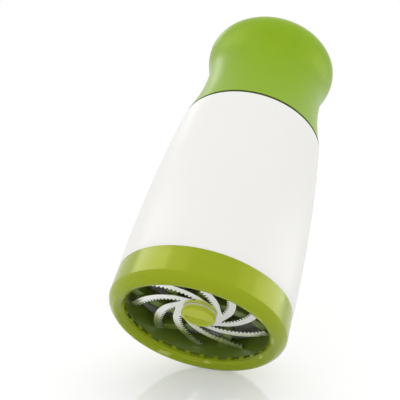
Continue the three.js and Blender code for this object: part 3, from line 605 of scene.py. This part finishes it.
def steel(name, colour, stain, roughness, spread, grain_scale):
    """A stainless steel finish."""
    finish = bpy.data.materials.new(name)
    finish.use_nodes = True
    nodes, links = finish.node_tree.nodes, finish.node_tree.links
    surface = nodes["Principled BSDF"]
    surface.inputs["Metallic"].default_value = 1
    grain = nodes.new("ShaderNodeGroup")
    grain.node_tree = STEEL_GRAIN
    grain.inputs["Colour"].default_value = (*colour, 1)
    grain.inputs["Stain"].default_value = (*stain, 1)
    grain.inputs["Roughness"].default_value = roughness
    grain.inputs["Spread"].default_value = spread
    grain.inputs["Grain Scale"].default_value = grain_scale
    bump = nodes.new("ShaderNodeBump")
    bump.inputs["Strength"].default_value = 0.3
    bump.inputs["Distance"].default_value = 0.00002
    links.new(grain.outputs["Colour"], surface.inputs["Base Color"])
    links.new(grain.outputs["Roughness"], surface.inputs["Roughness"])
    links.new(grain.outputs["Height"], bump.inputs["Height"])
    links.new(bump.outputs["Normal"], surface.inputs["Normal"])
    return finish


hexagon = [Vector((HEXAGON_RADIUS * math.cos(math.pi * i / 3), HEXAGON_RADIUS * math.sin(math.pi * i / 3)))
           for i in range(6)]
blade = stamped("pinwheel_blade", [blade_outline(), hexagon], blade_low.z, blade_high.z)
BLADE_STEEL = steel("blade_steel", colour=(0.95, 0.95, 0.95), stain=(0.88, 0.88, 0.87),
                    roughness=0.12, spread=0.2, grain_scale=900)
blade.data.materials.append(BLADE_STEEL)
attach(blade, "cutter")
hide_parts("blade")


# Drive hub, hub clip and hub washer
# The moulded hub clamps the blade under its flange and runs in the carrier's bush, held by a sprung
# steel clip. A thin acetal washer lies between blade and cap. Nothing of them shows but their edges.


def kept(node, finish):
    """Keeps a solid as it is, with smooth faces and its own finish."""
    piece = smoothed(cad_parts[node], crease=30)
    piece.data.materials.clear()
    piece.data.materials.append(finish)


PLAIN_STEEL = steel("clip_steel", colour=(0.66, 0.66, 0.67), stain=(0.55, 0.55, 0.55),
                    roughness=0.25, spread=0.25, grain_scale=500)
ACETAL = plastic(
    "washer_plastic", colour=(0.74, 0.72, 0.66), shade=(0.68, 0.66, 0.6), edge=(0.8, 0.78, 0.72),
    roughness=0.5, spread=0.1, peel_scale=1500, peel_depth=0.00002)
kept("drive_hub", SHADE_DARKENED_GREEN)
kept("hub_clip", PLAIN_STEEL)
kept("hub_washer", ACETAL)


# Hub cap
# The bright green finger cap in the middle of the blade. It locks in the hub with two lugs on its stud,
# and a ribbed half-moon in its face gives the finger a hold.

CAP_FACE_EDGE = 0.0009
CAP_BACK_EDGE = 0.0002
STUD_RADIUS = 0.0026
STUD_EDGE = 0.0003
STUD_LUG_REACH = 0.0012
STUD_LUG_HEIGHT = 0.0014
STUD_LUG_HALF_ANGLE = 0.32
STUD_LUG_COUNT = 2
STUD_LUG_DROP = 0.0001
GRIP_RADIUS = 0.0056
GRIP_DEPTH = 0.0008
GRIP_SLOTS = 4
GRIP_RIB = 0.0006
GRIP_STEPS = 6
GRIP_TIP_HALF = 0.0014

cap_low, cap_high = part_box("hub_cap")
cap_radius = cap_high.x
cap_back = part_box("hub_washer")[0].z
cap = turned("hub_cap_moulding", rounded(
    [(0, cap_low.z, 0), (cap_radius, cap_low.z, CAP_FACE_EDGE), (cap_radius, cap_back, CAP_BACK_EDGE),
     (STUD_RADIUS, cap_back, 0), (STUD_RADIUS, cap_high.z, STUD_EDGE), (0, cap_high.z, 0)]))
stud_lugs = ring_blocks("stud_lugs", STUD_LUG_COUNT,
                        (STUD_RADIUS - JOIN_OVERLAP, STUD_RADIUS + STUD_LUG_REACH),
                        (-STUD_LUG_HALF_ANGLE, STUD_LUG_HALF_ANGLE),
                        (cap_high.z - STUD_LUG_HEIGHT, cap_high.z - STUD_LUG_DROP))
cap = combined(cap, stud_lugs, "UNION")


def grip_slots(name):
    """Slots side by side across a half-moon, with ribs left between them."""
    mesh = bmesh.new()
    pitch = GRIP_RADIUS / GRIP_SLOTS
    for k in range(GRIP_SLOTS):
        near = pitch * k + GRIP_RIB / 2
        far = pitch * (k + 1) - GRIP_RIB / 2
        loops = []
        for i in range(GRIP_STEPS + 1):
            depth = near + (far - near) * i / GRIP_STEPS
            width = math.sqrt(max(GRIP_RADIUS ** 2 - depth ** 2, GRIP_TIP_HALF ** 2))
            spots = [(-width, depth, cap_low.z - CUT_PAST), (width, depth, cap_low.z - CUT_PAST),
                     (width, depth, cap_low.z + GRIP_DEPTH), (-width, depth, cap_low.z + GRIP_DEPTH)]
            loops.append([mesh.verts.new(spot) for spot in spots])
        skinned(mesh, loops)
    return settled(name, mesh)


cap = combined(cap, grip_slots("cap_grip"), "DIFFERENCE")
cap.data.materials.append(plastic(
    "cap_green", colour=(0.60, 0.68, 0.02), shade=(0.56, 0.64, 0.018), edge=(0.70, 0.76, 0.1),
    roughness=0.25, spread=0.08, peel_scale=900, peel_depth=0.00002))
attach(cap, "cap")
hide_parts("hub_cap")


# Auger, shaft and auger clip
# A moulded green screw on a square steel bar. Its one flight presses the leaves down on the blade;
# a sprung clip holds it on the bar.

AUGER_TUBE = 0.009
AUGER_BORE = 0.00435
AUGER_HUB_ROOM = 0.0063
AUGER_HUB_GAP = 0.0003
AUGER_FOOT_EDGE = 0.0004
AUGER_TOP_EDGE = 0.001
AUGER_BORE_EDGE = 0.0003
FLIGHT_PITCH = 0.030
FLIGHT_THICKNESS = 0.0018
FLIGHT_MARGIN = 0.004
FLIGHT_EDGE = 0.0006
FLIGHT_STEPS = 40

auger_low, auger_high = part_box("auger")
auger_radius = (auger_high.x - auger_low.x) / 2
auger_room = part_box("drive_hub")[1].z + AUGER_HUB_GAP


def flight(name):
    """The helical flight, a ribbon with a rounded rim wound up round Z."""
    mesh = bmesh.new()
    rise = auger_high.z - FLIGHT_MARGIN - FLIGHT_THICKNESS - auger_low.z
    steps = math.ceil(rise / FLIGHT_PITCH * FLIGHT_STEPS)
    root = AUGER_TUBE - JOIN_OVERLAP
    section = rounded([(root, 0, 0), (auger_radius, 0, FLIGHT_EDGE),
                       (auger_radius, FLIGHT_THICKNESS, FLIGHT_EDGE), (root, FLIGHT_THICKNESS, 0)], steps=4)
    loops = []
    for i in range(steps + 1):
        angle = 2 * math.pi * rise / FLIGHT_PITCH * i / steps
        level = auger_low.z + rise * i / steps
        spots = [(r * math.cos(angle), r * math.sin(angle), level + z) for r, z in section]
        loops.append([mesh.verts.new(spot) for spot in spots])
    skinned(mesh, loops)
    return settled(name, mesh)


auger = turned("auger_moulding", rounded(
    [(AUGER_HUB_ROOM, auger_low.z, AUGER_FOOT_EDGE), (AUGER_TUBE, auger_low.z, AUGER_FOOT_EDGE),
     (AUGER_TUBE, auger_high.z, AUGER_TOP_EDGE), (AUGER_BORE, auger_high.z, AUGER_BORE_EDGE),
     (AUGER_BORE, auger_room, 0), (AUGER_HUB_ROOM, auger_room, 0)]))
auger = combined(auger, flight("auger_flight"), "UNION")
auger.data.materials.append(SHADE_DARKENED_GREEN)
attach(auger, "knob")
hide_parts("auger")
kept("drive_shaft", PLAIN_STEEL)
kept("auger_clip", PLAIN_STEEL)


# Swivel collar, seal and thrust washer
# The moulded collar plugs the hopper's top with an O-ring round its spigot. Its thin rim, near black,
# paints the shade of the recess as the dark line between hopper and knob, and an acetal washer on it
# carries the turning knob.

COLLAR_PLATE = 0.0028
COLLAR_SKIRT_BORE = 0.0268
COLLAR_BORE = 0.0198
COLLAR_RIM = 0.0331
COLLAR_GAP = 0.0003
COLLAR_BORE_EDGE = 0.0002
COLLAR_RIM_EDGE = 0.0001
SKIRT_INNER_EDGE = 0.0003
SKIRT_OUTER_EDGE = 0.0006
SEAL_RADIUS = 0.00105
SEAL_FLOOR_GAP = 0.0003
SEAL_SIDE_GAP = 0.0001
SEAL_GROOVE_EDGE = 0.0001
SEAL_STEPS = 20

collar_low, collar_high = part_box("swivel_collar")
seal_low, seal_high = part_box("collar_seal")
collar_radius = HOPPER_TOP_RADIUS - HOPPER_WALL - COLLAR_GAP
seal_floor = collar_radius - 2 * SEAL_RADIUS - SEAL_FLOOR_GAP
groove_low = seal_low.z - SEAL_SIDE_GAP
groove_high = seal_high.z + SEAL_SIDE_GAP
plate_low = collar_high.z - COLLAR_PLATE
collar = turned("swivel_collar_moulding", rounded(
    [(COLLAR_SKIRT_BORE, collar_low.z, SKIRT_INNER_EDGE), (collar_radius, collar_low.z, SKIRT_OUTER_EDGE),
     (collar_radius, groove_low, SEAL_GROOVE_EDGE), (seal_floor, groove_low, 0),
     (seal_floor, groove_high, 0), (collar_radius, groove_high, SEAL_GROOVE_EDGE),
     (collar_radius, hopper_top, 0), (COLLAR_RIM, hopper_top, COLLAR_RIM_EDGE),
     (COLLAR_RIM, collar_high.z, COLLAR_RIM_EDGE), (COLLAR_BORE, collar_high.z, COLLAR_BORE_EDGE),
     (COLLAR_BORE, plate_low, COLLAR_BORE_EDGE), (COLLAR_SKIRT_BORE, plate_low, 0)]))
# Near black: painted shade for the recess between hopper and knob.
collar.data.materials.append(plastic(
    "collar_painted_shade", colour=(0.03, 0.055, 0.01), shade=(0.025, 0.047, 0.008), edge=(0.05, 0.08, 0.015),
    roughness=0.4, spread=0.1, peel_scale=900, peel_depth=0.00003, sheen=0.2))
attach(collar, "collar")
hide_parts("swivel_collar")

seal_middle = (seal_low.z + seal_high.z) / 2
seal_ring = collar_radius - SEAL_RADIUS
seal = turned("collar_o_ring", [
    (seal_ring + SEAL_RADIUS * math.cos(2 * math.pi * i / SEAL_STEPS),
     seal_middle + SEAL_RADIUS * math.sin(2 * math.pi * i / SEAL_STEPS)) for i in range(SEAL_STEPS)])
seal.data.materials.append(plastic(
    "seal_rubber", colour=(0.06, 0.065, 0.055), shade=(0.045, 0.05, 0.04), edge=(0.09, 0.09, 0.08),
    roughness=0.6, spread=0.15, peel_scale=2500, peel_depth=0.00003))
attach(seal, "collar")
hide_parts("collar_seal")
kept("thrust_washer", ACETAL)


# Knob
# The hollow green knob: a flared foot, a waist for the fingers and a domed crown for the palm, moulded
# in one piece with a high gloss. Three bosses inside take the screws of the liner.

KNOB_WALL = 0.0025
KNOB_FOOT_RADIUS = 0.0332
KNOB_FOOT_BEND = 0.0022
KNOB_FOOT_TURN = 0.28
KNOB_FOOT_EASE = 0.6
KNOB_NECK_RADIUS = 0.0287
KNOB_NECK_LEVEL = 0.0295
KNOB_CROWN_RADIUS = 0.032
KNOB_CROWN_LEVEL = 0.0485
KNOB_FLARE_EASE = 0.55
KNOB_FLARE_TURN = 0.35
CURVE_STEPS = 26
DOME_STEPS = 30
SCREW_COUNT = 3
BOSS_RADIUS = 0.0034
BOSS_HEIGHT = 0.012
BOSS_RIB = 0.002
BOSS_RIB_DROP = 0.0005
BOSS_STEPS = 40
PILOT_RADIUS = 0.0017
PILOT_GAP = 0.0003
LINER_BOSS_RISE = 0.003

knob_low, knob_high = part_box("knob_shell")


def knob_outline(inset):
    """The knob's side from its foot to the top of its dome, moved in by the inset."""
    foot = knob_low.z
    neck = foot + KNOB_NECK_LEVEL
    crown = foot + KNOB_CROWN_LEVEL
    rise = crown - neck
    curves = [
        [(KNOB_FOOT_RADIUS, foot),
         (KNOB_FOOT_RADIUS - KNOB_FOOT_BEND, foot + KNOB_NECK_LEVEL * KNOB_FOOT_TURN),
         (KNOB_NECK_RADIUS, foot + KNOB_NECK_LEVEL * KNOB_FOOT_EASE), (KNOB_NECK_RADIUS, neck)],
        [(KNOB_NECK_RADIUS, neck), (KNOB_NECK_RADIUS, neck + rise * KNOB_FLARE_EASE),
         (KNOB_CROWN_RADIUS, crown - rise * KNOB_FLARE_TURN), (KNOB_CROWN_RADIUS, crown)]]
    outline = []
    for curve in curves:
        for i in range(CURVE_STEPS):
            spot = bezier(curve, i / CURVE_STEPS)
            outline.append(Vector((spot.x - inset, spot.y)))
    dome = knob_high.z - crown - inset
    for i in range(DOME_STEPS + 1):
        angle = math.pi / 2 * i / DOME_STEPS
        radius = (KNOB_CROWN_RADIUS - inset) * math.cos(angle)
        outline.append(Vector((radius, crown + dome * math.sin(angle))))
    outline[-1].x = 0
    return outline


knob = turned("knob_moulding", knob_outline(0) + knob_outline(KNOB_WALL)[::-1])


def at_screws(name, radius, low, high):
    """A round bar at each screw of the liner."""
    bars = []
    for i in range(SCREW_COUNT):
        bar = turned(f"{name}_{i + 1}", [(0, low), (radius, low), (radius, high), (0, high)], BOSS_STEPS)
        turn = Matrix.Rotation(2 * math.pi * i / SCREW_COUNT, 4, "Z")
        bar.data.transform(turn @ Matrix.Translation((screw_circle, 0, 0)))
        bars.append(bar)
    return bars


screw_low, screw_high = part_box("liner_screw_1")
screw_circle = (screw_low.x + screw_high.x) / 2
boss_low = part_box("knob_liner")[1].z - LINER_BOSS_RISE
boss_high = boss_low + BOSS_HEIGHT
rib_half_angle = BOSS_RIB / 2 / screw_circle
bosses = ring_blocks("boss_ribs", SCREW_COUNT, (screw_circle, KNOB_FOOT_RADIUS),
                     (-rib_half_angle, rib_half_angle),
                     (boss_low + BOSS_RIB_DROP, boss_high - BOSS_RIB_DROP), steps=1)
for boss in at_screws("screw_boss", BOSS_RADIUS, boss_low, boss_high):
    bosses = combined(bosses, boss, "UNION")
core = turned("knob_core", [Vector((0, knob_low.z))] + knob_outline(KNOB_WALL / 2))
knob = combined(knob, combined(bosses, core, "INTERSECT"), "UNION")
for pilot in at_screws("screw_pilot", PILOT_RADIUS, boss_low - CUT_PAST, screw_high.z + PILOT_GAP):
    knob = combined(knob, pilot, "DIFFERENCE")
knob.data.materials.append(plastic(
    "knob_green", colour=(0.27, 0.45, 0.018), shade=(0.25, 0.42, 0.016), edge=(0.40, 0.58, 0.06),
    roughness=0.3, spread=0.05, peel_scale=700, peel_depth=0.00002, sheen=0.25, tint=(1, 1, 0.3)))
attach(knob, "knob")
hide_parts("knob_shell")


# Knob liner, its screws and the retaining ring
# The liner closes the knob from below and carries the square shaft. Its spigot turns in the collar,
# held by a steel ring underneath; three screws hold it in the knob and one holds the shaft.

kept("knob_liner", SHADE_DARKENED_GREEN)
for node in ("retaining_ring", "shaft_washer", "shaft_screw"):
    kept(node, PLAIN_STEEL)
for i in range(SCREW_COUNT):
    kept(f"liner_screw_{i + 1}", PLAIN_STEEL)


# Camera
# It looks up at the mouth from below the foot, close to the mill, rolled so that the mill leans right.

CAMERA_PLACE = Vector((0, -0.2944, -0.1437))
CAMERA_AIM = Vector((-0.0139, -0.0005, 0.0622))
CAMERA_ROLL = math.radians(17.9)
CAMERA_LENS = 72
CAMERA_NEAR = 0.01
SENSOR_WIDTH = 36

lens = bpy.data.cameras.new("camera")
lens.lens = CAMERA_LENS
lens.sensor_width = SENSOR_WIDTH
lens.clip_start = CAMERA_NEAR
camera = bpy.data.objects.new("camera", lens)
bpy.context.collection.objects.link(camera)
aimed = (CAMERA_AIM - CAMERA_PLACE).to_track_quat("-Z", "Y").to_matrix().to_4x4()
camera.matrix_world = Matrix.Translation(CAMERA_PLACE) @ aimed @ Matrix.Rotation(CAMERA_ROLL, 4, "Z")
bpy.context.scene.camera = camera


# Table and floor
# Two plain white sheets, each seen from one side only: the table that the leaning mill touches with
# its foot in the main view, and the level floor under it in views from above.

TABLE_SIZE = 1.6
TABLE_PITCH = math.radians(10)
STAGE_GREY = 0.7
STAGE_GLOW = 0.37
STAGE_POLISH = 0.06


def stage_white(name, rays):
    """Polished white from its front to the given kinds of ray, clear to all others. A glow that lights
    nothing else lifts it to the backdrop's white."""
    finish = bpy.data.materials.new(name)
    finish.use_nodes = True
    nodes, links = finish.node_tree.nodes, finish.node_tree.links
    nodes.clear()
    out = nodes.new("ShaderNodeOutputMaterial")
    paint = nodes.new("ShaderNodeBsdfDiffuse")
    paint.inputs["Color"].default_value = (STAGE_GREY, STAGE_GREY, STAGE_GREY, 1)
    glow = nodes.new("ShaderNodeEmission")
    lit = nodes.new("ShaderNodeAddShader")
    links.new(paint.outputs["BSDF"], lit.inputs[0])
    links.new(glow.outputs["Emission"], lit.inputs[1])
    shine = nodes.new("ShaderNodeBsdfGlossy")
    shine.inputs["Color"].default_value = (1, 1, 1, 1)
    shine.inputs["Roughness"].default_value = STAGE_POLISH
    mirror = nodes.new("ShaderNodeFresnel")
    glossy = nodes.new("ShaderNodeMixShader")
    links.new(mirror.outputs["Fac"], glossy.inputs["Fac"])
    links.new(lit.outputs["Shader"], glossy.inputs[1])
    links.new(shine.outputs["BSDF"], glossy.inputs[2])
    clear = nodes.new("ShaderNodeBsdfTransparent")
    path = nodes.new("ShaderNodeLightPath")
    fill = nodes.new("ShaderNodeMath")
    fill.operation = "MULTIPLY_ADD"
    fill.inputs[1].default_value = -STAGE_GLOW
    fill.inputs[2].default_value = STAGE_GLOW
    links.new(path.outputs["Is Diffuse Ray"], fill.inputs[0])
    links.new(fill.outputs["Value"], glow.inputs["Strength"])
    form = nodes.new("ShaderNodeNewGeometry")
    seen = path.outputs[rays[0]]
    for ray in rays[1:]:
        either = nodes.new("ShaderNodeMath")
        either.operation = "MAXIMUM"
        links.new(seen, either.inputs[0])
        links.new(path.outputs[ray], either.inputs[1])
        seen = either.outputs["Value"]
    front = nodes.new("ShaderNodeMath")
    front.operation = "SUBTRACT"
    front.use_clamp = True
    links.new(seen, front.inputs[0])
    links.new(form.outputs["Backfacing"], front.inputs[1])
    shown = nodes.new("ShaderNodeMixShader")
    links.new(front.outputs["Value"], shown.inputs["Fac"])
    links.new(clear.outputs["BSDF"], shown.inputs[1])
    links.new(glossy.outputs["Shader"], shown.inputs[2])
    links.new(shown.outputs["Shader"], out.inputs["Surface"])
    return finish


def sheet(name, place, normal, rays):
    """A square white sheet through a place, facing along a normal."""
    half = TABLE_SIZE / 2
    mesh = bmesh.new()
    corners = ((-half, -half, 0), (half, -half, 0), (half, half, 0), (-half, half, 0))
    mesh.faces.new([mesh.verts.new(corner) for corner in corners])
    data = bpy.data.meshes.new(name)
    mesh.to_mesh(data)
    mesh.free()
    data.materials.append(stage_white(name, rays))
    stage = bpy.data.objects.new(name, data)
    stage.matrix_world = Matrix.Translation(place) @ normal.to_track_quat("Z", "Y").to_matrix().to_4x4()
    bpy.context.collection.objects.link(stage)


view = camera.matrix_world.to_3x3()
table_normal = (view.col[1] * math.cos(TABLE_PITCH) + view.col[2] * math.sin(TABLE_PITCH)).normalized()
touch = min((base_ring.matrix_world @ spot.co for spot in base_ring.data.vertices), key=table_normal.dot)
sheet("table", touch, table_normal, ("Is Camera Ray", "Is Glossy Ray", "Is Diffuse Ray"))
sheet("floor", Vector((0, 0, 0)), Vector((0, 0, 1)), ("Is Camera Ray",))


# Light
# A white studio: an even white surround lights the mill, with a small soft box high on its left. The
# strips beside it only show as highlights on the glossy plastic.

SURROUND_LIGHT = 0.98
LAMPS = [
    ("left_strip", (-0.435, -0.07, 0.26), (0.38, 0.16), 0.5, False),
    ("left_dim_strip", (-0.435, -0.42, 0.36), (0.34, 0.2), 0.2, False),
    ("right_strip", (0.435, -0.01, 0.26), (0.5, 0.16), 0.6, False),
    ("right_dim_strip", (0.435, -0.4, 0.35), (0.28, 0.2), 0.17, False),
    ("left_box", (-0.435, 0.27, 0.64), (0.12, 0.2), 0.18, True),
]

world = bpy.data.worlds.new("studio")
bpy.context.scene.world = world
world.use_nodes = True
surround = world.node_tree.nodes
surround.clear()
wires = world.node_tree.links
sky_out = surround.new("ShaderNodeOutputWorld")
backdrop = surround.new("ShaderNodeBackground")
backdrop.inputs["Color"].default_value = (1, 1, 1, 1)
light = surround.new("ShaderNodeBackground")
light.inputs["Color"].default_value = (1, 1, 1, 1)
light.inputs["Strength"].default_value = SURROUND_LIGHT
ray = surround.new("ShaderNodeLightPath")
straight = surround.new("ShaderNodeMath")
straight.operation = "MAXIMUM"
wires.new(ray.outputs["Is Camera Ray"], straight.inputs[0])
wires.new(ray.outputs["Is Glossy Ray"], straight.inputs[1])
through = surround.new("ShaderNodeMath")
through.operation = "MAXIMUM"
wires.new(straight.outputs["Value"], through.inputs[0])
wires.new(ray.outputs["Is Transmission Ray"], through.inputs[1])
chosen = surround.new("ShaderNodeMixShader")
wires.new(through.outputs["Value"], chosen.inputs["Fac"])
wires.new(light.outputs["Background"], chosen.inputs[1])
wires.new(backdrop.outputs["Background"], chosen.inputs[2])
wires.new(chosen.outputs["Shader"], sky_out.inputs["Surface"])

for name, place, size, power, lights in LAMPS:
    lamp = bpy.data.lights.new(name, "AREA")
    lamp.shape = "RECTANGLE"
    lamp.size, lamp.size_y = size
    lamp.energy = power
    stand = bpy.data.objects.new(name, lamp)
    stand.visible_diffuse = lights
    aim = CAMERA_AIM - Vector(place)
    stand.matrix_world = Matrix.Translation(place) @ aim.to_track_quat("-Z", "Y").to_matrix().to_4x4()
    bpy.context.collection.objects.link(stand)

bpy.context.scene.view_settings.view_transform = "Standard"
